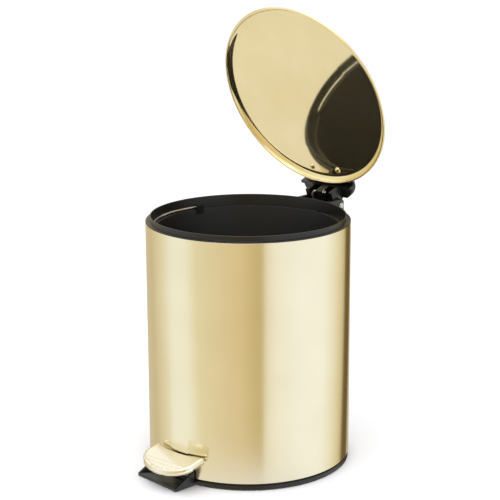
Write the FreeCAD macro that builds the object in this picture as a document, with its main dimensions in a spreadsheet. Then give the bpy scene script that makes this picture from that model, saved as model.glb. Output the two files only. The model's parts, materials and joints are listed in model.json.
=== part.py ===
"""Round pedal bin, stored with its lid open and its pedal pressed, in millimetres.

The origin is on the floor under the middle of the can. +Z is up, the pedal points
to -Y and the lid's hinge is at +Y. Pieces of the lid are drawn with the lid shut and
turned open about the hinge; pieces of the lever are drawn level and then tipped.
"""
import FreeCAD
import Part
import Sketcher
import math
import os
import re

from FreeCAD import Vector

doc = FreeCAD.newDocument("pedal_bin")

# ---------------------------------------------------------------- driving sizes
SIZES = [
    ("shell_radius", 102.5, "outside of the steel can"),
    ("shell_height", 240.0, "steel can, bottom edge to top edge"),
    ("shell_wall", 0.8, "steel sheet of the can"),
    ("fit_gap", 0.1, "slip between moulded parts and the can"),
    ("move_gap", 0.4, "space between neighbours that move"),
    ("base_height", 7.0, "floor to the can's bottom edge"),
    ("base_flange", 4.5, "height of the base's outer flange"),
    ("base_inset", 0.5, "flange inside the can's outline"),
    ("base_skirt", 13.0, "base skirt reaching up into the can"),
    ("base_wall", 2.0, "base skirt and floor thickness"),
    ("base_ring_width", 18.0, "solid ring under the can's edge"),
    ("foot_standout", 0.5, "rubber grip ring below the base"),
    ("grip_width", 6.0, "rubber grip ring"),
    ("tongue_width", 58.0, "foot tongue in front"),
    ("tongue_reach", 21.5, "foot tongue beyond the can"),
    ("tongue_floor", 2.8, "foot tongue plate"),
    ("tongue_turn", -5.2, "degrees that the tongue is turned from the pedal"),
    ("fin_wall", 2.5, "side fins of the tongue"),
    ("fin_height", 12.0, "side fins at the can, above the plate"),
    ("rim_inset", 4.3, "raised rim inside the can's outline"),
    ("rim_wall", 1.3, "raised rim"),
    ("rim_rise", 6.0, "raised rim above the can's top edge"),
    ("collar_flange", 1.2, "collar on top of the can's edge"),
    ("ledge_drop", 12.8, "bucket ledge below the raised rim"),
    ("ledge_width", 2.4, "bucket ledge"),
    ("bucket_wall", 1.4, "bucket side and floor"),
    ("bucket_taper", 8.0, "bucket narrower at the floor, on the radius"),
    ("bucket_clearance", 3.75, "underside of the bucket above the raised end of the lever"),
    ("bucket_turn", -14.0, "degrees that the bucket is turned in the can"),
    ("notch_width", 17.0, "thumb notch in the bucket's flange"),
    ("bail_wire", 1.3, "radius of the bucket's wire handle"),
    ("boss_length", 8.0, "handle boss on the bucket"),
    ("hinge_back", 18.4, "hinge axis behind the can"),
    ("hinge_drop", 2.4, "hinge axis below the can's top edge"),
    ("open_angle", 68.2, "degrees that the lid is open"),
    ("hinge_pin_radius", 1.75, "hinge pin"),
    ("lid_wall", 0.8, "steel sheet of the lid"),
    ("lid_overhang", 2.2, "lid's side wall beyond the raised rim"),
    ("lid_depth", 5.2, "inside of the lid above its rolled edge"),
    ("lid_cove", 8.0, "radial width of the lid's curved edge"),
    ("lid_bead", 1.2, "radius of the lid's rolled edge"),
    ("lid_seat", 6.0, "rolled edge of the shut lid above the can"),
    ("lid_dome", 0.6, "rise of the lid's middle"),
    ("dome_radius", 66.0, "domed middle of the lid"),
    ("bracket_plate", 3.0, "lid bracket thickness"),
    ("bracket_width", 66.0, "lid bracket on the lid"),
    ("bracket_front", 26.0, "lid bracket's reach over the lid"),
    ("knuckle_radius", 5.0, "bracket knuckle round the hinge pin"),
    ("rib_wall", 4.0, "bracket's outer ribs"),
    ("rivet_span", 34.6, "between the lid's two rivets"),
    ("rivet_inset", 14.0, "rivets inside the lid's wall"),
    ("rivet_shank", 1.6, "radius of a lid rivet's shank"),
    ("rivet_head", 3.5, "radius of a lid rivet's domed head"),
    ("housing_width", 44.0, "hinge housing"),
    ("housing_wall", 4.0, "hinge housing's cheeks"),
    ("housing_shell", 3.0, "hinge housing's back and floor"),
    ("housing_back", 4.6, "hinge housing behind the hinge axis"),
    ("housing_height", 70.0, "hinge housing below the can's top edge"),
    ("housing_rise", 4.4, "hinge housing above the can's top edge"),
    ("screw_radius", 1.8, "housing screw"),
    ("screw_span", 28.0, "between the housing's screws"),
    ("screw_rise", 8.0, "screws above the housing's floor"),
    ("rod_radius", 1.25, "lift rod wire"),
    ("rod_bend", 3.5, "bend radius of the lift rod"),
    ("rod_arm", 7.5, "lift rod in front of the hinge axis"),
    ("rod_top", 13.0, "lift rod's eye above the hinge axis, lid open"),
    ("rod_travel", 14.5, "stroke of the lift rod"),
    ("rod_slip", 0.072, "slack of the lever's hole round the rod, with the lever fully tipped"),
    ("rod_bend_rise", 17.0, "lift rod's lower bend above the hinge housing's underside"),
    ("rod_cross_rise", 23.0, "height over which the lift rod crosses to the outside"),
    ("slot_margin", 3.5, "can's rod slot above and below the rod's stroke"),
    ("rod_side", -10.0, "lift rod beside the middle, at the top"),
    ("rod_inset", 7.0, "lift rod inside the can's outline, at the bottom"),
    ("pivot_height", 18.5, "lever pivot above the floor"),
    ("pivot_front", 16.6, "lever pivot in front of the middle"),
    ("pivot_radius", 2.0, "lever pivot pin"),
    ("lever_width", 20.0, "lever strip"),
    ("lever_strip", 2.0, "lever thickness"),
    ("lever_lift", 3.5, "lever strip above its pivot"),
    ("pedal_width", 64.0, "pedal"),
    ("pedal_reach", 31.5, "pedal beyond the can"),
    ("pedal_round", 19.7, "rounded front part of the pedal"),
    ("pedal_gap", 1.5, "pedal to can, with the lever level"),
    ("pedal_rise", 14.7, "pedal's rear edge above the lever strip"),
    ("pedal_drop", 6.7, "fall of the pedal from rear to front"),
    ("pedal_skirt", 5.6, "turned-down edge of the pedal"),
    ("pedal_sheet", 1.0, "steel sheet of the pedal"),
    ("crank_gap", 2.2, "lever's crank in front of the can"),
    ("foot_rise", 10.2, "top of the lever's foot above the strip"),
    ("foot_reach", 22.0, "length of the lever's foot"),
    ("foot_fall", 4.4, "fall of the lever's foot along its length"),
    ("pedal_screw", 1.5, "pedal screw"),
    ("lug_width", 9.0, "bracket's middle lug, which the rod's eye runs in"),
    ("lug_side", 0.5, "middle lug beside the middle"),
    ("clip_radius", 3.2, "push-on clips of the rod and pins"),
    ("clip_sheet", 0.8, "thickness of a push-on clip"),
]

DERIVED = [
    ("shell_top", "base_height + shell_height"),
    ("shell_inside", "shell_radius - shell_wall"),
    ("grip_radius", "shell_radius - (base_ring_width - grip_width) / 2"),
    ("rim_radius", "shell_radius - rim_inset"),
    ("rim_top", "shell_top + rim_rise"),
    ("ledge_top", "rim_top - ledge_drop"),
    ("bucket_rim", "rim_radius - rim_wall - move_gap"),
    ("bucket_radius", "rim_radius - rim_wall - ledge_width - 5 * move_gap"),
    ("flange_top", "ledge_top + fit_gap + bucket_wall"),
    ("bail_radius", "rim_radius - rim_wall - 1.75 * move_gap - bail_wire"),
    ("bail_height", "flange_top + bail_wire + fit_gap"),
    ("hinge_y", "shell_radius + hinge_back"),
    ("hinge_z", "shell_top - hinge_drop"),
    ("lid_radius", "rim_radius + lid_overhang"),
    ("lid_edge", "shell_top + lid_seat"),
    ("lid_top", "lid_edge + lid_depth + lid_wall"),
    ("rivet_y", "lid_radius - rivet_inset"),
    ("cheek_gap", "housing_width / 2 - housing_wall - 0.75 * move_gap"),
    ("cheek_front", "rim_radius + move_gap"),
    ("housing_base", "shell_top - housing_height"),
    ("rod_y", "hinge_y - rod_arm"),
    ("rod_foot_y", "shell_radius - rod_inset"),
    ("lever_arm", "rod_foot_y + pivot_front"),
    ("press_angle", "asin(rod_travel / 2 / lever_arm)"),
    ("strip_z", "pivot_height + lever_lift"),
    ("pedal_tip", "shell_radius + pedal_reach"),
    ("pedal_rear", "sqrt((shell_radius + pedal_gap) ^ 2 - (pedal_width / 2) ^ 2)"),
    ("pedal_top", "strip_z + pedal_rise"),
    ("crank_y", "shell_radius + crank_gap"),
    ("foot_end", "crank_y + foot_reach"),
    ("foot_high", "strip_z + foot_rise"),
    ("rod_low_bend", "housing_base + rod_bend_rise"),
    ("rod_high_bend", "rod_low_bend + rod_cross_rise"),
    ("rod_cross", "rod_low_bend + rod_cross_rise * rod_inset / (rod_inset + hinge_back - rod_arm)"),
    ("rod_lift", "strip_z + lever_arm * sin(press_angle)"),
    ("bucket_floor", "rod_lift + bucket_clearance"),
    ("web_front", "lid_radius + lid_bead - lid_wall / 2 + 1.1"),
    ("web_back", "web_front + bracket_plate"),
    ("web_low", "shell_top + housing_rise + 0.6"),
    ("lug_front", "hinge_back - 1.2"),
]

sheet = doc.addObject("Spreadsheet::Sheet", "sizes")
for row, (alias, size, meaning) in enumerate(SIZES, start=1):
    sheet.set(f"A{row}", str(size))
    sheet.setAlias(f"A{row}", alias)
    sheet.set(f"B{row}", meaning)
for row, (alias, formula) in enumerate(DERIVED, start=1):
    sheet.set(f"C{row}", "=" + formula)
    sheet.setAlias(f"C{row}", alias)
doc.recompute()

WORDS = {alias for alias, *rest in SIZES + DERIVED}
# A sheet of its own works out single formulas, so that the sizes stay untouched meanwhile.
probe = doc.addObject("Spreadsheet::Sheet", "probe")
CENTRED = "centred"


# ---------------------------------------------------------------- helpers
def linked(formula):
    """The same formula, with each size's word pointing at the sheet."""
    return re.sub(r"[a-z][a-z_]*", lambda m: "sizes." + m[0] if m[0] in WORDS else m[0], str(formula))


def measure(formula):
    """The number that a formula of the sheet's words gives."""
    probe.set("A1", "=" + linked(formula))
    probe.recompute()
    return float(probe.get("A1"))


def bind(thing, **formulas):
    """Ties properties of an object to the sheet."""
    for name, formula in formulas.items():
        thing.setExpression(name, linked(formula))


def place(thing, position=(0, 0, 0), axis=(0, 0, 1), angle=0, centre=(0, 0, 0)):
    """Ties an object's Placement to the sheet: a shift, and a turn about a centre."""
    vectors = ["vector({}; {}; {})".format(*[linked(c) for c in v]) for v in (position, axis, centre)]
    turn = f"rotation({vectors[1]}; {linked(angle)})"
    thing.setExpression("Placement", f"placement({vectors[0]}; {turn}; {vectors[2]})")


def open_lid(thing):
    """Turns a piece that is drawn on the shut lid to where the open lid holds it."""
    place(thing, axis=(-1, 0, 0), angle="open_angle", centre=(0, "hinge_y", "hinge_z"))


def press(thing):
    """Tips a piece that is drawn on the level lever to the pressed position."""
    place(thing, axis=(1, 0, 0), angle="press_angle", centre=(0, "-pivot_front", "pivot_height"))


def new_body(label):
    body = doc.addObject("PartDesign::Body", "body_" + label)
    body.Label = label
    return body


def plane(body, role):
    return next(f for f in body.Origin.OriginFeatures if f.Role == role)


def new_sketch(body, name, role):
    sketch = body.newObject("Sketcher::SketchObject", name)
    sketch.AttachmentSupport = [(plane(body, role), "")]
    sketch.MapMode = "FlatFace"
    return sketch


def pin_point(sketch, edge, point, corner):
    """Holds one point of a sketch at a pair of formulas."""
    for kind, formula in zip(("DistanceX", "DistanceY"), corner):
        index = sketch.addConstraint(Sketcher.Constraint(kind, -1, 1, edge, point, measure(formula)))
        sketch.setExpression(f"Constraints[{index}]", linked(formula))


def bow_about_axis(start, end):
    """The middle of the arc between two points whose centre lies on the vertical axis."""
    height = (start.dot(start) - end.dot(end)) / (2 * (start.y - end.y))
    centre = Vector(0, height, 0)
    chord_middle = (start + end) / 2
    return centre + (chord_middle - centre).normalize() * (start - centre).Length


def outline(body, name, role, corners, arcs=None):
    """A closed sketch through corners.

    arcs maps an edge to the formulas of a point it bows through, or to CENTRED, which
    puts the arc's centre on the vertical axis.
    """
    sketch = new_sketch(body, name, role)
    spots = [Vector(measure(u), measure(v), 0) for u, v in corners]
    count = len(spots)
    bows = {}
    for edge, middle in (arcs or {}).items():
        if middle == CENTRED:
            bows[edge] = bow_about_axis(spots[edge], spots[(edge + 1) % count])
        else:
            bows[edge] = Vector(measure(middle[0]), measure(middle[1]), 0)
    ends = {}
    for edge in range(count):
        start = spots[edge]
        end = spots[(edge + 1) % count]
        if edge in bows:
            # A sketch keeps its arcs counter-clockwise, so a clockwise one is drawn from its far end.
            clockwise = (bows[edge] - start).cross(end - bows[edge]).z < 0
            first, last = (end, start) if clockwise else (start, end)
            sketch.addGeometry(Part.Arc(first, bows[edge], last))
            ends[edge] = (2, 1) if clockwise else (1, 2)
        else:
            sketch.addGeometry(Part.LineSegment(start, end))
            ends[edge] = (1, 2)
    for edge in range(count):
        after = (edge + 1) % count
        joint = Sketcher.Constraint("Coincident", edge, ends[edge][1], after, ends[after][0])
        sketch.addConstraint(joint)
    for edge, corner in enumerate(corners):
        pin_point(sketch, edge, ends[edge][0], corner)
    for edge, middle in (arcs or {}).items():
        if middle == CENTRED:
            sketch.addConstraint(Sketcher.Constraint("PointOnObject", edge, 3, -2))
            continue
        marker = sketch.addGeometry(Part.Point(bows[edge]), True)
        pin_point(sketch, marker, 1, middle)
        sketch.addConstraint(Sketcher.Constraint("PointOnObject", marker, 1, edge))
    return sketch


def circles(body, name, role, spots, radius):
    """A sketch of equal circles at pairs of formulas."""
    sketch = new_sketch(body, name, role)
    for edge, spot in enumerate(spots):
        centre = Vector(measure(spot[0]), measure(spot[1]), 0)
        sketch.addGeometry(Part.Circle(centre, Vector(0, 0, 1), measure(radius)))
        pin_point(sketch, edge, 3, spot)
        index = sketch.addConstraint(Sketcher.Constraint("Radius", edge, measure(radius)))
        sketch.setExpression(f"Constraints[{index}]", linked(radius))
    return sketch


def revolve(body, sketch):
    feature = body.newObject("PartDesign::Revolution", sketch.Name + "_turned")
    feature.Profile = sketch
    feature.ReferenceAxis = (sketch, ["V_Axis"])
    feature.Angle = 360
    doc.recompute()
    return feature


def pad(body, sketch, length, both_ways=True, backwards=False):
    feature = body.newObject("PartDesign::Pad", sketch.Name + "_padded")
    feature.Profile = sketch
    feature.Midplane = both_ways
    feature.Reversed = backwards
    bind(feature, Length=length)
    doc.recompute()
    return feature


def pocket(body, sketch, length, both_ways=True, backwards=False):
    """Cuts a sketch out of the body and makes sure that it did cut."""
    before = body.Shape.Volume
    feature = body.newObject("PartDesign::Pocket", sketch.Name + "_cut")
    feature.Profile = sketch
    feature.Midplane = both_ways
    feature.Reversed = backwards
    bind(feature, Length=length)
    doc.recompute()
    if body.Shape.Volume > before - 1e-3:
        raise RuntimeError(f"{feature.Name} cut nothing from {body.Label}")
    return feature


def box(u_low, u_high, v_low, v_high):
    """Corners of a rectangle from formulas."""
    return [(u_low, v_low), (u_high, v_low), (u_high, v_high), (u_low, v_high)]


def combine(kind, label, pieces):
    """One named object made of several: a fused solid, or a group of separate solids."""
    joined = doc.addObject(kind, "joined_" + label)
    joined.Label = label
    if kind == "Part::MultiFuse":
        joined.Shapes = pieces
    else:
        joined.Links = pieces
    doc.recompute()
    return joined


def cut(label, base, tool):
    result = doc.addObject("Part::Cut", "cut_" + label)
    result.Label = label
    result.Base = base
    result.Tool = tool
    doc.recompute()
    return result


def cylinder(name, radius, length, position, axis="z"):
    """A Part cylinder along z, or along x or y, that starts at a position."""
    drum = doc.addObject("Part::Cylinder", name)
    bind(drum, Radius=radius, Height=length)
    turns = {"z": ((0, 0, 1), 0), "x": ((0, 1, 0), 90), "y": ((1, 0, 0), -90)}
    direction, angle = turns[axis]
    place(drum, position=position, axis=direction, angle=angle)
    doc.recompute()
    return drum


def washer(name, outer, inner, length, position, axis):
    """A flat ring along an axis, starting at a position."""
    disc = cylinder(name + "_disc", outer, length, position, axis)
    hole = cylinder(name + "_hole", inner, length, position, axis)
    return cut(name, disc, hole)


def shaped(label, shape):
    """A sub-part whose shape is set by this script's own functions."""
    feature = doc.addObject("Part::Feature", "own_" + label)
    feature.Label = label
    feature.Shape = shape
    return feature


def bent_wire(points, bend, radius):
    """A round wire along straight runs joined by tangent bends."""
    edges = []
    start = points[0]
    for before, corner, after in zip(points, points[1:], points[2:]):
        way_in = (corner - before).normalize()
        way_out = (after - corner).normalize()
        turn = way_in.getAngle(way_out)
        reach = bend * math.tan(turn / 2)
        first = corner - way_in * reach
        last = corner + way_out * reach
        inward = (way_out - way_in).normalize()
        middle = corner + inward * (bend / math.cos(turn / 2) - bend)
        edges.append(Part.LineSegment(start, first).toShape())
        edges.append(Part.Arc(first, middle, last).toShape())
        start = last
    edges.append(Part.LineSegment(start, points[-1]).toShape())
    return swept(edges, points[0], points[1] - points[0], radius)


def swept(edges, start, direction, radius):
    """A round section swept along edges."""
    section = Part.Wire(Part.Circle(start, direction, radius).toShape())
    return Part.Wire(edges).makePipeShell([section], True, False)


# ---------------------------------------------------------------- steel can
def make_shell():
    body = new_body("body_shell")
    wall = outline(body, "can_wall", "XZ_Plane",
                   box("shell_inside", "shell_radius", "base_height", "shell_top"))
    revolve(body, wall)
    # The lever comes out in front, and the lift rod crosses over behind.
    swing = "(shell_radius - pivot_front) * sin(press_angle) + lever_strip / 2 + 2 * move_gap"
    half = "lever_width / 2 + 2 * move_gap"
    slot = outline(body, "lever_slot", "XZ_Plane",
                   box("-(" + half + ")", half, f"strip_z - ({swing})", f"strip_z + {swing}"))
    pocket(body, slot, "shell_radius + 1", both_ways=False, backwards=True)
    rod_slot = outline(body, "rod_slot", "XZ_Plane",
                       box("0.65 * rod_side - rod_radius", "0.15 * rod_side + rod_radius",
                           "rod_cross - rod_travel - slot_margin", "rod_cross + slot_margin"))
    pocket(body, rod_slot, "shell_radius + 1", both_ways=False)
    holes = circles(body, "screw_holes", "XZ_Plane",
                    [("screw_span / 2", "housing_base + screw_rise"),
                     ("-screw_span / 2", "housing_base + screw_rise")], "screw_radius")
    pocket(body, holes, "shell_radius + 1", both_ways=False)
    return body


# ---------------------------------------------------------------- black collar
def make_collar():
    """Moulded ring with the raised rim, the bucket's ledge and a skirt inside the can."""
    body = new_body("top_collar")
    inner = "rim_radius - rim_wall"
    skirt = "shell_inside - fit_gap"
    profile = outline(body, "collar_section", "XZ_Plane", [
        (f"{inner} - ledge_width", "ledge_top - bucket_wall"),
        ("rim_radius", "ledge_top - bucket_wall"),
        ("rim_radius", "shell_top"),
        (f"{skirt} - rim_wall", "shell_top"),
        (f"{skirt} - rim_wall", "ledge_top - bucket_wall"),
        (skirt, "ledge_top - bucket_wall"),
        (skirt, "shell_top"),
        ("shell_radius - fit_gap", "shell_top"),
        ("shell_radius - fit_gap", "shell_top + collar_flange"),
        ("rim_radius", "shell_top + collar_flange"),
        ("rim_radius", "rim_top"),
        (inner, "rim_top"),
        (inner, "ledge_top"),
        (f"{inner} - ledge_width", "ledge_top"),
    ])
    revolve(body, profile)
    return body


# ---------------------------------------------------------------- bucket and its handle
def make_bucket():
    """Tapered plastic bucket with a flange, a thumb notch and two bosses for the handle."""
    body = new_body("bucket")
    foot = "bucket_radius - bucket_taper"
    profile = outline(body, "bucket_section", "XZ_Plane", [
        (0, "bucket_floor"),
        (foot, "bucket_floor"),
        ("bucket_radius", "ledge_top + fit_gap"),
        ("bucket_rim", "ledge_top + fit_gap"),
        ("bucket_rim", "flange_top"),
        ("bucket_radius - bucket_wall", "flange_top"),
        (f"{foot} - bucket_wall", "bucket_floor + bucket_wall"),
        (0, "bucket_floor + bucket_wall"),
    ])
    revolve(body, profile)
    for side, sign in (("left", "-"), ("right", "")):
        low = f"{sign}(bucket_radius - bucket_wall - 1.2)"
        high = f"{sign}(bail_radius - 2 * bail_wire - move_gap)"
        boss = outline(body, "boss_" + side, "XZ_Plane",
                       box(low, high, "bail_height - bail_wire - 5", "bail_height + bail_wire + 1.2"))
        pad(body, boss, "boss_length")
    sockets = circles(body, "handle_sockets", "YZ_Plane", [(0, "bail_height")], "bail_wire + fit_gap / 2")
    pocket(body, sockets, "2 * bucket_rim")
    notch = outline(body, "thumb_notch", "XY_Plane", [
        ("-notch_width / 2", "bucket_radius - bucket_wall / 2"),
        ("notch_width / 2", "bucket_radius - bucket_wall / 2"),
        ("0.7 * notch_width", "bucket_rim + 1"),
        ("-0.7 * notch_width", "bucket_rim + 1"),
    ])
    notch.AttachmentOffset = FreeCAD.Placement(Vector(0, 0, measure("flange_top + 1")), FreeCAD.Rotation())
    notch.setExpression("AttachmentOffset.Base.z", linked("flange_top + 1"))
    pocket(body, notch, "bucket_wall + 3", both_ways=False)
    place(body, axis=(0, 0, 1), angle="bucket_turn")
    return body


def make_handle():
    """Wire bail lying round the front of the bucket's flange, its ends turned into the bosses."""
    radius = measure("bail_radius")
    height = measure("bail_height")
    bend = measure("2 * bail_wire")
    tip = measure("bucket_radius - bucket_wall - 1.2")
    centre_x = math.sqrt((radius - bend) ** 2 - bend ** 2)
    spread = radius / (radius - bend)
    join = Vector(centre_x * spread, -bend * spread, height)
    slant = (math.atan2(-bend, centre_x)) / 2
    elbow = Vector(centre_x, -bend, height)
    elbow_middle = elbow + Vector(math.cos(math.pi / 4 + slant), math.sin(math.pi / 4 + slant), 0) * bend

    def mirrored(point):
        return Vector(-point.x, point.y, point.z)

    start = Vector(tip, 0, height)
    bend_start = Vector(centre_x, 0, height)
    edges = [
        Part.LineSegment(start, bend_start).toShape(),
        Part.Arc(bend_start, elbow_middle, join).toShape(),
        Part.Arc(join, Vector(0, -radius, height), mirrored(join)).toShape(),
        Part.Arc(mirrored(join), mirrored(elbow_middle), mirrored(bend_start)).toShape(),
        Part.LineSegment(mirrored(bend_start), mirrored(start)).toShape(),
    ]
    handle = shaped("bucket_handle", swept(edges, start, Vector(1, 0, 0), measure("bail_wire")))
    place(handle, axis=(0, 0, 1), angle="bucket_turn")
    return handle


# ---------------------------------------------------------------- base
def make_base():
    """Moulded base: flange, skirt up into the can, floor, pivot lugs and the foot tongue."""
    body = new_body("base_moulding")
    flange = "shell_radius - base_inset"
    flange_top = "foot_standout + base_flange"
    skirt = "shell_inside - fit_gap"
    floor_top = "base_height - 1"
    ring_inside = "shell_radius - base_ring_width"
    profile = outline(body, "base_section", "XZ_Plane", [
        (0, f"{floor_top} - base_wall"),
        (ring_inside, f"{floor_top} - base_wall"),
        (ring_inside, "foot_standout"),
        ("grip_radius - grip_width", "foot_standout"),
        ("grip_radius - grip_width", "foot_standout + base_wall"),
        ("grip_radius", "foot_standout + base_wall"),
        ("grip_radius", "foot_standout"),
        (flange, "foot_standout"),
        (flange, flange_top),
        ("shell_radius - base_wall", flange_top),
        ("shell_radius - base_wall", "base_height"),
        (skirt, "base_height"),
        (skirt, "base_height + base_skirt"),
        (f"{skirt} - base_wall", "base_height + base_skirt"),
        (f"{skirt} - base_wall", floor_top),
        (0, floor_top),
    ])
    revolve(body, profile)
    swing = "(shell_radius - pivot_front) * sin(press_angle) + lever_strip / 2 + 3 * move_gap"
    half = "lever_width / 2 + 2 * move_gap"
    notch = outline(body, "lever_notch", "XZ_Plane",
                    box("-(" + half + ")", half, f"strip_z - ({swing})", "base_height + base_skirt + 1"))
    pocket(body, notch, "shell_radius + 1", both_ways=False, backwards=True)
    lug_top = "pivot_height + 2.5 * pivot_radius"
    lugs = outline(body, "pivot_lugs", "YZ_Plane",
                   box("-pivot_front - 3 * pivot_radius", "-pivot_front + 3 * pivot_radius",
                       f"{floor_top} - base_wall / 2", lug_top))
    pad(body, lugs, "lever_width + 2 * move_gap + 4 * base_wall")
    gap = outline(body, "lug_gap", "YZ_Plane",
                  box("-pivot_front - 3 * pivot_radius - 1", "-pivot_front + 3 * pivot_radius + 1",
                      floor_top, lug_top + " + 1"))
    pocket(body, gap, "lever_width + 2 * move_gap")
    bore = circles(body, "pivot_bore", "YZ_Plane", [("-pivot_front", "pivot_height")], "pivot_radius")
    pocket(body, bore, "2 * lever_width + 4 * base_wall")

    plate = doc.addObject("Part::Box", "tongue_plate")
    inner_end = "grip_radius + fit_gap"
    bind(plate, Length="tongue_width", Width=f"shell_radius + tongue_reach - ({inner_end})",
         Height="tongue_floor")
    place(plate, axis=(0, 0, 1), angle="tongue_turn",
          position=on_tongue("-tongue_width / 2", "shell_radius + tongue_reach", "foot_standout"))
    fins = [make_fin("tongue_fin_left", "-tongue_width / 2"),
            make_fin("tongue_fin_right", "tongue_width / 2 - fin_wall")]
    return combine("Part::MultiFuse", "base", [body, plate] + fins)


def on_tongue(across, forward, height):
    """Formulas of a point on the turned tongue, from its middle line and the can's axis."""
    x = f"({across}) * cos(tongue_turn) + ({forward}) * sin(tongue_turn)"
    y = f"({across}) * sin(tongue_turn) - ({forward}) * cos(tongue_turn)"
    return (x, y, height)


def make_fin(name, across):
    """Side fin of the tongue, falling from the can to the tongue's front edge."""
    fin = doc.addObject("Part::Wedge", name)
    length = "tongue_reach + 2.5"
    bind(fin, Xmin=0, Xmax="fin_wall", X2min=0, X2max="fin_wall", Ymin=0, Ymax=length,
         Zmin=0, Zmax="tongue_floor", Z2min=0, Z2max="tongue_floor + fin_height")
    place(fin, axis=(0, 0, 1), angle="tongue_turn",
          position=on_tongue(across, "shell_radius + tongue_reach", "foot_standout"))
    doc.recompute()
    return fin


def make_grip_ring():
    """Rubber ring pressed into the underside of the base, which the bin stands on."""
    return washer("grip_ring", "grip_radius", "grip_radius - grip_width", "foot_standout + base_wall",
                  (0, 0, 0), "z")


# ---------------------------------------------------------------- pedal lever
# Screw places along the lever's foot, as distances from the can's axis.
SCREWS = ["shell_radius + 9", "shell_radius + 18"]


def make_lever():
    """Cranked steel strip with two folded ears for the pivot pin and a hole for the rod."""
    body = new_body("pedal_lever")
    low = "strip_z - lever_strip / 2"
    high = "strip_z + lever_strip / 2"
    rear = "rod_foot_y + 3"
    strip = outline(body, "lever_side", "YZ_Plane", [
        (rear, low),
        (rear, high),
        ("-crank_y", high),
        ("-crank_y", "foot_high"),
        ("-foot_end", "foot_high - foot_fall"),
        ("-foot_end", "foot_high - foot_fall - lever_strip"),
        ("-(crank_y + lever_strip)", "foot_high - lever_strip"),
        ("-(crank_y + lever_strip)", low),
    ])
    pad(body, strip, "lever_width")
    ear_half = "2.6 * pivot_radius"
    ears = outline(body, "lever_ears", "YZ_Plane",
                   box(f"-pivot_front - {ear_half}", f"-pivot_front + {ear_half}",
                       "pivot_height - 2 * pivot_radius", low + " + lever_strip / 4"))
    pad(body, ears, "lever_width")
    hollow = outline(body, "ear_hollow", "YZ_Plane",
                     box(f"-pivot_front - {ear_half} - 1", f"-pivot_front + {ear_half} + 1",
                         "pivot_height - 2 * pivot_radius - 1", low))
    pocket(body, hollow, "lever_width - 2 * lever_strip")
    bore = circles(body, "ear_bore", "YZ_Plane", [("-pivot_front", "pivot_height")],
                   "pivot_radius + fit_gap / 2")
    pocket(body, bore, "2 * lever_width")
    # The hole's middle moves off the rod's as the lever tips, and the strip's thickness leans.
    sway = "lever_arm * (1 - cos(press_angle)) + (lever_lift + lever_strip / 2) * sin(press_angle)"
    rod_hole = circles(body, "rod_hole", "XY_Plane", [(0, "rod_foot_y")], "rod_radius + rod_slip + " + sway)
    pocket(body, rod_hole, "4 * strip_z")
    spots = [(0, f"-({forward})") for forward in SCREWS]
    holes = circles(body, "foot_holes", "XY_Plane", spots, "pedal_screw + move_gap")
    pocket(body, holes, "4 * strip_z")
    press(body)
    return body


def foot_top(forward):
    """Height of the lever foot's top surface at a distance from the can's axis."""
    return f"foot_high - foot_fall * (({forward}) - crank_y) / foot_reach"


def pedal_block(inset, drop, base):
    """Solid under the pedal's curved top, its outline drawn in by inset and its top lowered by drop.

    base gives the heights of the block's underside at its rear and front ends, or None
    for an underside that follows the top one skirt lower.
    """
    half = measure("pedal_width / 2") - inset
    rear = measure("shell_radius + pedal_gap") + inset
    tip = measure("pedal_tip") - inset
    straight = measure("pedal_tip - pedal_round")
    corner = math.sqrt(rear ** 2 - half ** 2)
    edges = [
        Part.Arc(Vector(-half, -corner, 0), Vector(0, -rear, 0), Vector(half, -corner, 0)).toShape(),
        Part.LineSegment(Vector(half, -corner, 0), Vector(half, -straight, 0)).toShape(),
        Part.LineSegment(Vector(-half, -straight, 0), Vector(-half, -corner, 0)).toShape(),
    ]
    oval = Part.Ellipse(Vector(half, -straight, 0), Vector(0, -tip, 0), Vector(0, -straight, 0))
    halves = [Part.Arc(oval, 0, math.pi).toShape(), Part.Arc(oval, math.pi, 2 * math.pi).toShape()]
    edges.append(min(halves, key=lambda edge: edge.BoundBox.YMin))
    plan = Part.Face(Part.Wire(Part.__sortEdges__(edges)))
    column = plan.extrude(Vector(0, 0, measure("2 * pedal_top")))

    start = measure("pedal_rear")
    run = measure("pedal_tip") - start
    top = measure("pedal_top") - drop
    fall = measure("pedal_drop")

    def crest(forward):
        along = max(forward - start, 0) / run
        return top - fall * (0.2 * along + 0.8 * along ** 2)

    side_x = -measure("pedal_width")
    stations = [start - 20, start - 8, start, start + 0.33 * run, start + 0.67 * run, start + run, start + run + 6]
    crown = Part.BSplineCurve()
    crown.interpolate([Vector(side_x, -y, crest(y)) for y in stations])
    skirt = Vector(0, 0, measure("pedal_skirt"))
    upper = [crown.StartPoint, crown.EndPoint]
    if base is None:
        under = crown.copy()
        under.translate(-skirt)
        lower = [upper[0] - skirt, upper[1] - skirt]
        floor_edge = under.toShape()
    else:
        lower = [Vector(side_x, point.y, height) for point, height in zip(upper, base)]
        floor_edge = Part.LineSegment(lower[0], lower[1]).toShape()
    side = Part.Wire([crown.toShape(), Part.LineSegment(upper[1], lower[1]).toShape(),
                      floor_edge, Part.LineSegment(lower[0], upper[0]).toShape()])
    band = Part.Face(side).extrude(Vector(-2 * side_x, 0, 0))
    return column.common(band)


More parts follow.
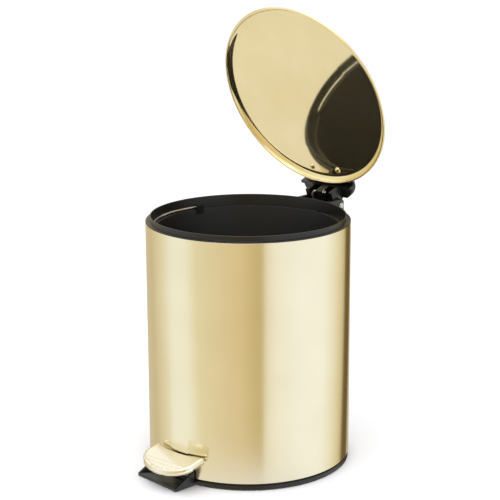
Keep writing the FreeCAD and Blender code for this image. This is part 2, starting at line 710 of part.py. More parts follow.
def make_pedal():
    """Pressed steel cover with a turned-down edge, and the moulded core it is crimped over."""
    sheet_thickness = measure("pedal_sheet")
    deep = pedal_block(sheet_thickness, sheet_thickness, (0, 0))
    # The turned-down edge is left open behind, where the lever goes in.
    lever_half = measure("lever_width / 2 + move_gap")
    lever_reach = measure("crank_y + lever_strip + move_gap")
    lever_way = Part.makeBox(2 * lever_half, lever_reach, measure("foot_high + fit_gap"),
                             Vector(-lever_half, -lever_reach, 0))
    cover = shaped("pedal_cover", pedal_block(0, 0, None).cut([deep, lever_way]))
    press(cover)
    ends = [measure(foot_top("pedal_rear - 20")), measure(foot_top("pedal_tip + 6"))]
    block = pedal_block(sheet_thickness, sheet_thickness, ends)
    core_blank = shaped("core_blank", block)
    screws = [make_pedal_screw(n, forward) for n, forward in enumerate(SCREWS, start=1)]
    bores = combine("Part::Compound", "core_bores", screws)
    core = cut("pedal_core", core_blank, bores)
    press(core)
    group = combine("Part::Compound", "pedal_screws", screws)
    press(group)
    return [cover, core, group]


def make_pedal_screw(number, forward):
    """Pan-head screw up through the lever's foot, square to it."""
    body = new_body(f"pedal_screw_{number}")
    tip = foot_top(forward) + " + 2.2"
    seat = foot_top(forward) + " - lever_strip - 0.15"
    profile = outline(body, f"pedal_screw_section_{number}", "XZ_Plane", [
        (0, seat + " - 1.6"),
        ("1.4 * pedal_screw", seat + " - 1.6"),
        ("2 * pedal_screw", seat + " - 0.8"),
        ("2 * pedal_screw", seat),
        ("pedal_screw", seat),
        ("pedal_screw", tip),
        (0, tip),
    ])
    revolve(body, profile)
    place(body, position=(0, f"-({forward})", 0), axis=(1, 0, 0),
          angle="atan(foot_fall / foot_reach)", centre=(0, 0, foot_top(forward)))
    doc.recompute()
    return body


def make_pivot():
    """Pin through the base's lugs and the lever's ears, with a clip on each end."""
    reach = "lever_width / 2 + move_gap + 2 * base_wall"
    length = f"2 * ({reach} + clip_sheet + 1)"
    pin = cylinder("pivot", "pivot_radius", length, (f"-({length}) / 2", "-pivot_front", "pivot_height"), "x")
    pin.Label = "pedal_pivot_pin"
    clips = [washer(f"pivot_clip_{side}", "clip_radius", "pivot_radius", "clip_sheet",
                    (x, "-pivot_front", "pivot_height"), "x")
             for side, x in (("left", f"-({reach}) - clip_sheet"), ("right", reach))]
    return [pin, combine("Part::Compound", "pivot_clips", clips)]


# ---------------------------------------------------------------- lift rod
def make_rod():
    """Steel wire from the lever's rear end, out through the can and up to the lid bracket's lug."""
    foot = Vector(0, measure("rod_foot_y"), measure("rod_lift - 4"))
    low = Vector(0, foot.y, measure("rod_low_bend"))
    high = Vector(measure("rod_side"), measure("rod_y"), measure("rod_high_bend"))
    eye = Vector(high.x, high.y, measure("hinge_z + rod_top"))
    end = Vector(measure("lug_side + lug_width / 2 + clip_sheet + 1.6"), high.y, eye.z)
    wire = bent_wire([foot, low, high, eye, end], measure("rod_bend"), measure("rod_radius"))
    return shaped("lift_rod", wire)


def make_rod_clips():
    """Push-on clips: above and below the lever, and on the end of the rod's eye."""
    slack = "0.35"
    at_lever = (0, "rod_foot_y", f"rod_lift + lever_strip / 2 + {slack}")
    under_lever = (0, "rod_foot_y", f"rod_lift - lever_strip / 2 - {slack} - clip_sheet")
    at_eye = (f"lug_side + lug_width / 2 + {slack}", "rod_y", "hinge_z + rod_top")
    clips = [washer("rod_clip_top", "clip_radius", "rod_radius", "clip_sheet", at_lever, "z"),
             washer("rod_clip_bottom", "clip_radius", "rod_radius", "clip_sheet", under_lever, "z"),
             washer("rod_clip_eye", "clip_radius", "rod_radius", "clip_sheet", at_eye, "x")]
    return combine("Part::Compound", "rod_clips", clips)


# ---------------------------------------------------------------- hinge housing
def make_housing():
    """Moulded housing behind the can: two cheeks for the hinge pin, a back, a floor and screw bosses."""
    body = new_body("hinge_housing")
    rear = "hinge_y + housing_back"
    top = "shell_top + housing_rise"
    cheeks = outline(body, "housing_side", "YZ_Plane", [
        ("cheek_front", "housing_base"),
        (f"{rear} - 8", "housing_base"),
        (rear, "housing_base + 8"),
        (rear, "hinge_z + housing_rise"),
        ("hinge_y + 1.2", top),
        ("cheek_front", top),
    ])
    pad(body, cheeks, "housing_width")
    hollow = outline(body, "housing_hollow", "YZ_Plane", [
        ("cheek_front - 5", "housing_base + housing_shell"),
        (f"{rear} - 8", "housing_base + housing_shell"),
        (f"{rear} - housing_shell", "housing_base + 8 + housing_shell / 2"),
        (f"{rear} - housing_shell", "hinge_z - knuckle_radius - 1.1"),
        (f"{rear} + 5", "hinge_z - knuckle_radius - 1.1"),
        (f"{rear} + 5", top + " + 5"),
        ("cheek_front - 5", top + " + 5"),
    ])
    pocket(body, hollow, "housing_width - 2 * housing_wall")
    spots = [("screw_span / 2", "housing_base + screw_rise"), ("-screw_span / 2", "housing_base + screw_rise")]
    bosses = circles(body, "screw_bosses", "XZ_Plane", spots,
                     "(housing_width - 2 * housing_wall - screw_span) / 2 + 0.6")
    pad(body, bosses, "hinge_y - 8", both_ways=False, backwards=True)
    round_can = circles(body, "can_outside", "XY_Plane", [(0, 0)], "shell_radius")
    lift = "shell_top + collar_flange + 0.2"
    round_can.AttachmentOffset = FreeCAD.Placement(Vector(0, 0, measure(lift)), FreeCAD.Rotation())
    round_can.setExpression("AttachmentOffset.Base.z", linked(lift))
    pocket(body, round_can, "shell_top", both_ways=False)
    threads = circles(body, "screw_threads", "XZ_Plane", spots, "screw_radius")
    pocket(body, threads, "hinge_y - 10", both_ways=False)
    bore = circles(body, "housing_bore", "YZ_Plane", [("hinge_y", "hinge_z")], "hinge_pin_radius")
    pocket(body, bore, "2 * housing_width")
    return body


def make_housing_screws():
    """Two pan-head screws from inside the can into the housing's bosses."""
    screws = []
    for side, x in (("left", "-screw_span / 2"), ("right", "screw_span / 2")):
        seat = "sqrt(shell_inside ^ 2 - (screw_span / 2 + 2 * screw_radius) ^ 2)"
        height = "housing_base + screw_rise"
        shank = cylinder(f"housing_shank_{side}", "screw_radius", f"hinge_y - 10.5 - ({seat})",
                         (x, seat, height), "y")
        head = cylinder(f"housing_head_{side}", "2 * screw_radius", "1.6",
                        (x, f"{seat} - 1.6", height), "y")
        screws.append(combine("Part::MultiFuse", f"housing_screw_{side}", [shank, head]))
    return combine("Part::Compound", "housing_screws", screws)


def make_hinge_pin():
    half = "housing_width / 2 + clip_sheet + 0.8"
    pin = cylinder("hinge_shaft", "hinge_pin_radius", f"2 * ({half})", (f"-({half})", "hinge_y", "hinge_z"), "x")
    pin.Label = "hinge_pin"
    clips = [washer(f"hinge_clip_{side}", "clip_radius", "hinge_pin_radius", "clip_sheet",
                    (x, "hinge_y", "hinge_z"), "x")
             for side, x in (("left", "-housing_width / 2 - clip_sheet"), ("right", "housing_width / 2"))]
    return [pin, combine("Part::Compound", "hinge_clips", clips)]


# ---------------------------------------------------------------- lid
RIVETS = [("-rivet_span / 2", "rivet_y"), ("rivet_span / 2", "rivet_y")]


def cove_middle(outer, depth):
    """The middle of the lid's curved edge, which leaves the flat of the lid smoothly."""
    bend = f"((lid_cove ^ 2 + {depth} ^ 2) / (2 * {depth}))"
    half_turn = f"atan({depth} / lid_cove)"
    return (f"{outer} - lid_cove + {bend} * sin({half_turn})",
            f"lid_edge + {depth} - {bend} * (1 - cos({half_turn}))")


def make_lid():
    """Pressed steel pan with a coved edge, a rolled rim and a slight dome, drawn shut."""
    body = new_body("lid")
    inside = "lid_radius - lid_wall"
    under = "lid_edge + lid_depth"
    corners = [
        (0, f"{under} + lid_dome"),
        ("dome_radius", under),
        (f"{inside} - lid_cove", under),
        (inside, "lid_edge"),
        ("lid_radius", "lid_edge"),
        ("lid_radius - lid_cove", "lid_top"),
        ("dome_radius", "lid_top"),
        (0, "lid_top + lid_dome"),
    ]
    arcs = {
        0: CENTRED,
        2: cove_middle(inside, "lid_depth"),
        4: cove_middle("lid_radius", "(lid_depth + lid_wall)"),
        6: CENTRED,
    }
    revolve(body, outline(body, "lid_section", "XZ_Plane", corners, arcs))
    bead = circles(body, "lid_roll", "XZ_Plane", [("lid_radius - lid_wall / 2", "lid_edge")], "lid_bead")
    revolve(body, bead)
    holes = circles(body, "lid_rivet_holes", "XY_Plane", RIVETS, "rivet_shank")
    pocket(body, holes, "4 * shell_height")
    open_lid(body)
    return body


def make_bracket():
    """Moulded bracket: a plate on the lid, a web behind its wall, and ribs down to the hinge pin."""
    body = new_body("bracket_moulding")
    plate_top = "lid_top + bracket_plate"
    skin = outline(body, "bracket_skin", "YZ_Plane", [
        ("lid_radius - bracket_front", "lid_top"),
        ("web_front", "lid_top"),
        ("web_front", "web_low"),
        ("web_back", "web_low"),
        ("web_back", "lid_top - 3.5"),
        ("hinge_y - 4.4", "hinge_z + 8.8"),
        ("hinge_y - 3", "hinge_z + 11"),
        ("hinge_y - 7", "hinge_z + 15"),
        ("web_back", plate_top),
        ("lid_radius - bracket_front + 2", plate_top),
    ])
    pad(body, skin, "bracket_width")
    for side, sign in (("left", "-"), ("right", "")):
        trim = outline(body, "bracket_trim_" + side, "XY_Plane", [
            (f"{sign}bracket_width / 2", "web_front + 1"),
            (f"{sign}cheek_gap", "hinge_y - 3"),
            (f"{sign}cheek_gap", "hinge_y + 5"),
            (f"{sign}(bracket_width / 2 + 5)", "hinge_y + 5"),
            (f"{sign}(bracket_width / 2 + 5)", "web_front + 1"),
        ], {0: (f"{sign}(cheek_gap + 0.78 * (bracket_width / 2 - cheek_gap))",
                "web_front + 1 + 0.62 * (hinge_back - 3)")})
        pocket(body, trim, "4 * shell_height")
    block = outline(body, "hinge_block", "YZ_Plane", [
        ("hinge_y - lug_front", "hinge_z - knuckle_radius"),
        ("hinge_y", "hinge_z - knuckle_radius"),
        ("hinge_y + 0.34 * knuckle_radius", "hinge_z + 0.94 * knuckle_radius"),
        ("hinge_y - 6", "hinge_z + 14"),
        ("web_back", "lid_top + 1"),
        ("web_front + 1", "lid_top - 2"),
        ("web_front + 1", "web_low"),
        ("hinge_y - lug_front", "web_low"),
    ], {1: ("hinge_y + knuckle_radius", "hinge_z")})
    pad(body, block, "2 * cheek_gap")
    rib_inside = "(cheek_gap - rib_wall)"
    lug_left = "(lug_side - lug_width / 2)"
    lug_right = "(lug_side + lug_width / 2)"
    for side, low, high in (("left", f"-{rib_inside}", lug_left), ("right", lug_right, rib_inside)):
        gap = outline(body, "bracket_gap_" + side, "YZ_Plane", [
            ("hinge_y - 25", "hinge_z - 2 * knuckle_radius"),
            ("hinge_y + 2 * knuckle_radius", "hinge_z - 2 * knuckle_radius"),
            ("hinge_y + 2 * knuckle_radius", "hinge_z + 4.2"),
            ("hinge_y - 1.5", "hinge_z + 4.2"),
            ("hinge_y - 7.3", "hinge_z + 11.9"),
            ("web_back", "lid_top - 2.5"),
            ("web_back", "web_low"),
            ("hinge_y - 25", "web_low"),
        ])
        middle = f"({low} + {high}) / 2"
        gap.AttachmentOffset = FreeCAD.Placement(Vector(0, 0, measure(middle)), FreeCAD.Rotation())
        gap.setExpression("AttachmentOffset.Base.z", linked(middle))
        pocket(body, gap, f"{high} - {low}")
    bore = circles(body, "knuckle_bore", "YZ_Plane", [("hinge_y", "hinge_z")],
                   "hinge_pin_radius + fit_gap / 2")
    pocket(body, bore, "2 * housing_width")
    holes = circles(body, "bracket_rivet_holes", "XY_Plane", RIVETS, "rivet_shank")
    pocket(body, holes, "4 * shell_height")
    track = shaped("cam_track", cam_track())
    bracket = cut("lid_bracket", body, track)
    open_lid(bracket)
    return bracket


def cam_track():
    """The space that the rod's eye sweeps through the middle lug, seen from the turning lid."""
    arm = measure("rod_arm")
    top = measure("rod_top")
    travel = measure("rod_travel")
    opened = math.radians(measure("open_angle"))
    clear = measure("rod_radius + 0.6 * move_gap")
    middle = Vector(measure("lug_side - lug_width / 2 - 1"), measure("hinge_y"), measure("hinge_z"))
    steps = 8
    path = []
    for step in range(steps + 1):
        share = step / steps
        turn = opened * share
        rise = top - travel * (1 - share)
        forward = arm * math.cos(turn) + rise * math.sin(turn)
        upward = rise * math.cos(turn) - arm * math.sin(turn)
        path.append(middle + Vector(0, -forward, upward))
    through = Vector(measure("lug_width + 2"), 0, 0)
    track = Part.makeCylinder(clear, through.x, path[0], through)
    for start, end in zip(path, path[1:]):
        across = (end - start).cross(Vector(1, 0, 0)).normalize() * clear
        corners = [start - across, end - across, end + across, start + across, start - across]
        run = Part.Face(Part.makePolygon(corners)).extrude(through)
        track = track.fuse([run, Part.makeCylinder(clear, through.x, end, through)])
    return track.removeSplitter()


def make_rivets():
    """Two rivets with a domed head inside the lid and a flat one on the bracket."""
    rivets = []
    for number, (x, y) in enumerate(RIVETS, start=1):
        body = new_body(f"lid_rivet_{number}")
        inner = "lid_edge + lid_depth"
        outer = "lid_top + bracket_plate"
        profile = outline(body, f"rivet_section_{number}", "XZ_Plane", [
            (0, f"{inner} - 2.2"),
            ("rivet_head", inner),
            ("rivet_shank", inner),
            ("rivet_shank", outer),
            ("1.7 * rivet_shank", outer),
            ("1.5 * rivet_shank", f"{outer} + 0.9"),
            (0, f"{outer} + 0.9"),
        ], {0: ("0.66 * rivet_head", f"{inner} - 1.35")})
        revolve(body, profile)
        place(body, position=(x, y, 0))
        rivets.append(body)
    group = combine("Part::Compound", "lid_rivets", rivets)
    open_lid(group)
    return group


# ---------------------------------------------------------------- build, check and write
def build():
    pieces = [make_shell(), make_collar(), make_bucket(), make_handle(), make_base(), make_grip_ring(),
              make_lever()]
    pieces += make_pedal()
    pieces += make_pivot()
    pieces += [make_rod(), make_rod_clips(), make_housing(), make_housing_screws()]
    pieces += make_hinge_pin()
    pieces += [make_lid(), make_bracket(), make_rivets()]
    return pieces


def check(pieces):
    for thing in doc.Objects:
        if "Invalid" in thing.State or "Error" in thing.State:
            raise RuntimeError(f"{thing.Name} ({thing.Label}) failed: {thing.State}")
    for piece in pieces:
        if piece.Shape.isNull() or not piece.Shape.isValid():
            raise RuntimeError(f"{piece.Label} has no valid shape")


parts = build()
doc.recompute()
check(parts)
os.makedirs("parts", exist_ok=True)
for part in parts:
    part.Shape.exportStep(f"parts/{part.Label}.step")
    print(f"{part.Label}: {len(part.Shape.Solids)} solids, {part.Shape.Volume:.0f} mm3")
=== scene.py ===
import json
import math

import bmesh
import bpy
from mathutils import Matrix, Vector


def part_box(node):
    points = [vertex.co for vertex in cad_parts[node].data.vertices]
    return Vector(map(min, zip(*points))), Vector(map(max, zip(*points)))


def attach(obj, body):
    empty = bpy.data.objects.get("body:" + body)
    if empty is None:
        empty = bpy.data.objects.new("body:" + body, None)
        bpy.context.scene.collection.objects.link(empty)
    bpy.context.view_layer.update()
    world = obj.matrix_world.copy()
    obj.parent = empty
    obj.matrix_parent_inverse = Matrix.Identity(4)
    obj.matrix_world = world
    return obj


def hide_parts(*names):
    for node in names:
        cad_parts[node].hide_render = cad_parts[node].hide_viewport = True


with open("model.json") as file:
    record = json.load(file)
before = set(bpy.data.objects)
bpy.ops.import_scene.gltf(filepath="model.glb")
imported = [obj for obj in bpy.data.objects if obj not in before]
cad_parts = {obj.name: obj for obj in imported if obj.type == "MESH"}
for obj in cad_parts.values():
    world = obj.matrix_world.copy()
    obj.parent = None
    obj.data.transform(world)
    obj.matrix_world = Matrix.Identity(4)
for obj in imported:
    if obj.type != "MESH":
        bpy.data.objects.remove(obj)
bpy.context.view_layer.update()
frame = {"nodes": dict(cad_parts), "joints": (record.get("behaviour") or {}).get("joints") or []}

MM = 0.001
joints = {joint["name"]: joint for joint in frame["joints"]}
scene = bpy.context.scene


# ---------------------------------------------------------------- camera
# A short telephoto stands about a metre and a half away, a little above the rim,
# and looks at the can from its front right.
VIEW_AZIMUTH = math.radians(42.2)
VIEW_ELEVATION = math.radians(13.93)
VIEW_DISTANCE = 1.4606
VIEW_ROLL = math.radians(-0.3)
aim = Vector((0, 0, 0.2157))

camera = bpy.data.objects.new("camera", bpy.data.cameras.new("camera"))
scene.collection.objects.link(camera)
backward = Vector((math.sin(VIEW_AZIMUTH) * math.cos(VIEW_ELEVATION),
                   -math.cos(VIEW_AZIMUTH) * math.cos(VIEW_ELEVATION),
                   math.sin(VIEW_ELEVATION)))
camera.location = aim + backward * VIEW_DISTANCE
camera.rotation_mode = "QUATERNION"
facing = (-backward).to_track_quat("-Z", "Y")
camera.rotation_quaternion = facing @ Matrix.Rotation(VIEW_ROLL, 3, "Z").to_quaternion()
camera.data.lens = 104.8
camera.data.shift_x = 0.0034
camera.data.clip_end = 100
scene.camera = camera


# ---------------------------------------------------------------- light tent and floor
# The can stands on a white floor in a soft light tent. The tent's walls are white panels
# and warmer gaps, which draw the upright bands on polished metal.
def linear(code):
    """An sRGB hex colour as linear RGBA."""
    channels = [int(code[i:i + 2], 16) / 255 for i in (0, 2, 4)]
    return [c / 12.92 if c <= 0.04045 else ((c + 0.055) / 1.055) ** 2.4 for c in channels] + [1]


def add_node(tree, kind, settings=None, inputs=None, links=None):
    """Adds a node, with its own settings, its inputs' values and the sockets that feed it."""
    made = tree.nodes.new(kind)
    for key, value in (settings or {}).items():
        setattr(made, key, value)
    for key, value in (inputs or {}).items():
        made.inputs[key].default_value = value
    for key, socket in (links or {}).items():
        tree.links.new(socket, made.inputs[key])
    return made


def set_ramp(node, stops):
    """Gives a colour ramp its stops, as (place, linear colour) from low to high."""
    elements = node.color_ramp.elements
    while len(elements) > 1:
        elements.remove(elements[-1])
    elements[0].position = stops[0][0]
    elements[0].color = stops[0][1]
    for place, colour in stops[1:]:
        elements.new(place).color = colour


TENT_FLOOR = (0.90, 0.89, 0.90, 1)
TENT_ROOF = (1.14, 1.15, 1.18, 1)
# Where the floor gives way to the walls and the walls to the roof, as the sine of the elevation.
FLOOR_EDGE = (-0.62, -0.54)
ROOF_EDGE = (0.35, 0.55)
PAPER_RADIUS = 14
PAPER_DROP = 0.2 * MM
# Tent wall by compass angle in degrees, anticlockwise from +X: its light, red, green and blue.
TENT_WALL = [
    (-180, (0.70, 0.60, 0.39)),
    (-158, (0.85, 0.79, 0.61)),
    (-140, (0.99, 1.01, 0.96)),
    (-122, (0.99, 1.01, 0.95)),
    (-106, (0.87, 0.80, 0.58)),
    (-80, (0.82, 0.72, 0.50)),
    (-56, (0.78, 0.64, 0.39)),
    (-38, (0.64, 0.52, 0.27)),
    (-32, (0.60, 0.49, 0.25)),
    (-30, (0.89, 0.84, 0.68)),
    (-18, (0.99, 0.99, 0.92)),
    (12, (1.05, 1.08, 1.10)),
    (44, (1.05, 1.08, 1.08)),
    (62, (0.93, 0.90, 0.76)),
    (76, (0.80, 0.71, 0.47)),
    (86, (0.62, 0.51, 0.30)),
    (90, (0.14, 0.09, 0.03)),
    (108, (0.14, 0.09, 0.03)),
    (112, (0.62, 0.53, 0.37)),
    (150, (0.66, 0.57, 0.38)),
]
world = bpy.data.worlds.new("light_tent")
scene.world = world
world.use_nodes = True
tent = world.node_tree
tent.nodes.clear()
way = add_node(tent, "ShaderNodeTexCoord").outputs["Generated"]
parts = add_node(tent, "ShaderNodeSeparateXYZ", links={0: way})
compass = add_node(tent, "ShaderNodeMath", {"operation": "ARCTAN2"},
                   links={0: parts.outputs["Y"], 1: parts.outputs["X"]})
around = add_node(tent, "ShaderNodeMapRange", inputs={"From Min": -math.pi, "From Max": math.pi},
                  links={"Value": compass.outputs[0]})
wall = add_node(tent, "ShaderNodeValToRGB", links={0: around.outputs[0]})
set_ramp(wall, [((angle + 180) / 360, light + (1,)) for angle, light in TENT_WALL])
# Below the walls the tent has its white floor, and above them its lit roof.
floor_end = add_node(tent, "ShaderNodeMapRange", {"interpolation_type": "SMOOTHSTEP"},
                     inputs={"From Min": FLOOR_EDGE[0], "From Max": FLOOR_EDGE[1]},
                     links={"Value": parts.outputs["Z"]})
floor_to_wall = add_node(tent, "ShaderNodeMix", {"data_type": "RGBA"},
                         inputs={"A": TENT_FLOOR},
                         links={"Factor": floor_end.outputs[0], "B": wall.outputs["Color"]})
roof_start = add_node(tent, "ShaderNodeMapRange", {"interpolation_type": "SMOOTHSTEP"},
                      inputs={"From Min": ROOF_EDGE[0], "From Max": ROOF_EDGE[1]},
                      links={"Value": parts.outputs["Z"]})
wall_to_roof = add_node(tent, "ShaderNodeMix", {"data_type": "RGBA"}, inputs={"B": TENT_ROOF},
                        links={"Factor": roof_start.outputs[0], "A": floor_to_wall.outputs["Result"]})
glow = add_node(tent, "ShaderNodeBackground", links={"Color": wall_to_roof.outputs["Result"]})
add_node(tent, "ShaderNodeOutputWorld", links={"Surface": glow.outputs[0]})
world.cycles.sampling_method = "NONE"

softbox = bpy.data.objects.new("softbox", bpy.data.lights.new("softbox", "AREA"))
scene.collection.objects.link(softbox)
softbox.data.size = 1.6
softbox.data.energy = 10
softbox.location = (0.3, -0.5, 1.9)
softbox.rotation_euler = softbox.location.to_track_quat("Z", "Y").to_euler()

scene.view_settings.view_transform = "Standard"

floor_mesh = bmesh.new()
bmesh.ops.create_circle(floor_mesh, cap_ends=True, segments=96, radius=PAPER_RADIUS)
floor_data = bpy.data.meshes.new("floor")
floor_mesh.to_mesh(floor_data)
floor_mesh.free()
floor = bpy.data.objects.new("floor", floor_data)
scene.collection.objects.link(floor)
floor.location.z = -PAPER_DROP
floor.visible_glossy = False
paper = bpy.data.materials.new("white_paper_floor")
paper.use_nodes = True
paper_shader = paper.node_tree.nodes["Principled BSDF"]
paper_shader.inputs["Base Color"].default_value = linear("FAFBFF")
paper_shader.inputs["Roughness"].default_value = 0.9
paper_shader.inputs["Specular IOR Level"].default_value = 0.0
floor_data.materials.append(paper)


# ---------------------------------------------------------------- can
# The can is a rolled tube of thin steel, plated in a satin brass tone and
# lacquered. It stands on the base and the black collar closes its raw top edge.
CAN_WALL = 0.8 * MM
CAN_EDGE = 0.25 * MM
TURNS = 256
# Each slot: the place of its middle across and up, its width and its height.
LEVER_SLOT = (0, 22 * MM, 21.6 * MM, 14.2 * MM)
ROD_SLOT = (-4 * MM, 195.7 * MM, 7.5 * MM, 21.5 * MM)
SLOT_CUT = 20 * MM
SHARP_ANGLE = math.radians(40)


def turned(outline):
    """A bmesh of a closed outline, given as (radius, height) points, spun about the can's axis."""
    mesh = bmesh.new()
    points = [mesh.verts.new((radius, 0, height)) for radius, height in outline]
    on_axis = outline[0][0] == 0 and outline[-1][0] == 0
    ends = points[1:] + ([] if on_axis else points[:1])
    edges = [mesh.edges.new(pair) for pair in zip(points, ends)]
    bmesh.ops.spin(mesh, geom=points + edges, cent=(0, 0, 0), axis=(0, 0, 1),
                   angle=2 * math.pi, steps=TURNS, use_merge=True)
    bmesh.ops.remove_doubles(mesh, verts=mesh.verts, dist=1e-7)
    bmesh.ops.recalc_face_normals(mesh, faces=mesh.faces)
    return mesh


def round_edges(mesh, width, corner=math.radians(35), segments=3):
    """Rounds every edge of a bmesh that turns by more than corner."""
    sharp = [e for e in mesh.edges if e.is_manifold and e.calc_face_angle() > corner]
    bmesh.ops.bevel(mesh, geom=sharp, offset=width, offset_type="OFFSET", segments=segments,
                    profile=0.5, affect="EDGES", material=-1, clamp_overlap=True)


def make_piece(mesh, name, material, body, *nodes):
    """Turns a bmesh into a smooth piece that rides on a body and stands for CAD nodes."""
    data = bpy.data.meshes.new(name)
    mesh.to_mesh(data)
    mesh.free()
    data.shade_smooth()
    data.set_sharp_from_angle(angle=SHARP_ANGLE)
    data.materials.append(material)
    piece = bpy.data.objects.new(name, data)
    scene.collection.objects.link(piece)
    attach(piece, body)
    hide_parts(*nodes)
    return piece


def new_material(name):
    """A node material's tree and its shader."""
    material = bpy.data.materials.new(name)
    material.use_nodes = True
    return material, material.node_tree, material.node_tree.nodes["Principled BSDF"]


def cut_box(piece, centre, size):
    """Cuts a box out of a piece for good."""
    tool_mesh = bmesh.new()
    bmesh.ops.create_cube(tool_mesh, size=1)
    bmesh.ops.scale(tool_mesh, vec=size, verts=tool_mesh.verts)
    bmesh.ops.translate(tool_mesh, vec=centre, verts=tool_mesh.verts)
    data = bpy.data.meshes.new("cutter")
    tool_mesh.to_mesh(data)
    tool_mesh.free()
    tool = bpy.data.objects.new("cutter", data)
    scene.collection.objects.link(tool)
    boolean = piece.modifiers.new("slot", "BOOLEAN")
    boolean.operation = "DIFFERENCE"
    boolean.object = tool
    boolean.solver = "EXACT"
    bpy.context.view_layer.update()
    whole = piece.evaluated_get(bpy.context.evaluated_depsgraph_get())
    result = bpy.data.meshes.new_from_object(whole)
    piece.modifiers.remove(boolean)
    piece.data = result
    result.set_sharp_from_angle(angle=SHARP_ANGLE)
    bpy.data.objects.remove(tool)


# Satin brass plate over steel, brushed upright and lacquered: soft bands of light with
# a faint grain of fine upright scratches about 0.4 mm apart.
satin_brass, tree, shader = new_material("satin_brass_plate")
shader.inputs["Metallic"].default_value = 1
shader.inputs["Coat Weight"].default_value = 0.35
shader.inputs["Coat Roughness"].default_value = 0.08
place = add_node(tree, "ShaderNodeTexCoord").outputs["Object"]
grain_space = add_node(tree, "ShaderNodeMapping", inputs={"Scale": (1, 1, 0.02)}, links={"Vector": place})
grain = add_node(tree, "ShaderNodeTexNoise", inputs={"Scale": 1 / (0.4 * MM), "Detail": 2},
                 links={"Vector": grain_space.outputs[0]})
cloud = add_node(tree, "ShaderNodeTexNoise", inputs={"Scale": 1 / (45 * MM), "Detail": 1},
                 links={"Vector": place})
tone = add_node(tree, "ShaderNodeValToRGB", links={0: cloud.outputs["Fac"]})
set_ramp(tone, [(0.3, linear("EDE4C9")), (0.7, linear("F0E8CE"))])
tree.links.new(tone.outputs["Color"], shader.inputs["Base Color"])
sheen = add_node(tree, "ShaderNodeMapRange", inputs={"To Min": 0.13, "To Max": 0.21},
                 links={"Value": grain.outputs["Fac"]})
tree.links.new(sheen.outputs[0], shader.inputs["Roughness"])
scratch = add_node(tree, "ShaderNodeBump", inputs={"Strength": 0.03, "Distance": 0.05 * MM},
                   links={"Height": grain.outputs["Fac"]})
tree.links.new(scratch.outputs[0], shader.inputs["Normal"])

low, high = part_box("body_shell")
radius = (high.y - low.y) / 2
can_mesh = turned([(radius - CAN_WALL, low.z), (radius, low.z), (radius, high.z),
                   (radius - CAN_WALL, high.z)])
round_edges(can_mesh, CAN_EDGE)
can = make_piece(can_mesh, "can_shell", satin_brass, "body", "body_shell")
for (across, up, width, height), side in ((LEVER_SLOT, -1), (ROD_SLOT, 1)):
    cut_box(can, (across, side * radius, up), (width, SLOT_CUT, height))


# ---------------------------------------------------------------- collar
# The collar is moulded in black ABS. Its flange covers the can's edge, its raised rim meets
# the lid, and a ledge inside carries the bucket.
COLLAR_EDGE = 0.45 * MM
FLAT_ANGLE = math.radians(0.8)


def softened(node, width, corner=math.radians(35)):
    """A bmesh copy of a CAD node with its sharp edges rounded, as a mould or a press leaves them."""
    mesh = bmesh.new()
    mesh.from_mesh(frame["nodes"][node].data)
    bmesh.ops.remove_doubles(mesh, verts=mesh.verts, dist=2e-6)
    bmesh.ops.dissolve_limit(mesh, angle_limit=FLAT_ANGLE, verts=mesh.verts, edges=mesh.edges)
    round_edges(mesh, width, corner, segments=2)
    return mesh


# Black ABS, moulded against a finely spark-eroded tool: a dark satin with a fine even
# grain about 0.5 mm across, drawn a little coarser than life so that it shows.
black_abs, tree, shader = new_material("moulded_black_abs")
place = add_node(tree, "ShaderNodeTexCoord").outputs["Object"]
mould = add_node(tree, "ShaderNodeTexNoise", inputs={"Scale": 1 / (0.5 * MM), "Detail": 3},
                 links={"Vector": place})
tone = add_node(tree, "ShaderNodeValToRGB", links={0: mould.outputs["Fac"]})
set_ramp(tone, [(0.35, linear("101010")), (0.65, linear("151515"))])
tree.links.new(tone.outputs["Color"], shader.inputs["Base Color"])
gloss = add_node(tree, "ShaderNodeMapRange", inputs={"To Min": 0.24, "To Max": 0.34},
                 links={"Value": mould.outputs["Fac"]})
tree.links.new(gloss.outputs[0], shader.inputs["Roughness"])
dimple = add_node(tree, "ShaderNodeBump", inputs={"Strength": 0.06, "Distance": 0.05 * MM},
                  links={"Height": mould.outputs["Fac"]})
tree.links.new(dimple.outputs[0], shader.inputs["Normal"])

low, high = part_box("top_collar")
RIM_RADIUS = 98.2 * MM
RIM_WALL = 1.3 * MM
LEDGE = 2.4 * MM
LEDGE_THICKNESS = 1.4 * MM
FLANGE_THICKNESS = 1.2 * MM
FIT_GAP = 0.1 * MM
# The inner skirt's top lies this far under the can's edge, so that the two faces stay apart.
HAIR = 0.01 * MM
can_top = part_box("body_shell")[1].z
rim_inside = RIM_RADIUS - RIM_WALL
ledge_top = low.z + LEDGE_THICKNESS
skirt = radius - CAN_WALL - FIT_GAP
flange_edge = radius - FIT_GAP
flange_top = can_top + FLANGE_THICKNESS
collar_mesh = turned([
    (rim_inside - LEDGE, low.z), (RIM_RADIUS, low.z), (RIM_RADIUS, can_top - HAIR),
    (skirt - RIM_WALL, can_top - HAIR), (skirt - RIM_WALL, low.z), (skirt, low.z), (skirt, can_top),
    (flange_edge, can_top), (flange_edge, flange_top), (RIM_RADIUS, flange_top),
    (RIM_RADIUS, high.z), (rim_inside, high.z), (rim_inside, ledge_top), (rim_inside - LEDGE, ledge_top)])
round_edges(collar_mesh, COLLAR_EDGE)
collar = make_piece(collar_mesh, "collar_ring", black_abs, "body", "top_collar")


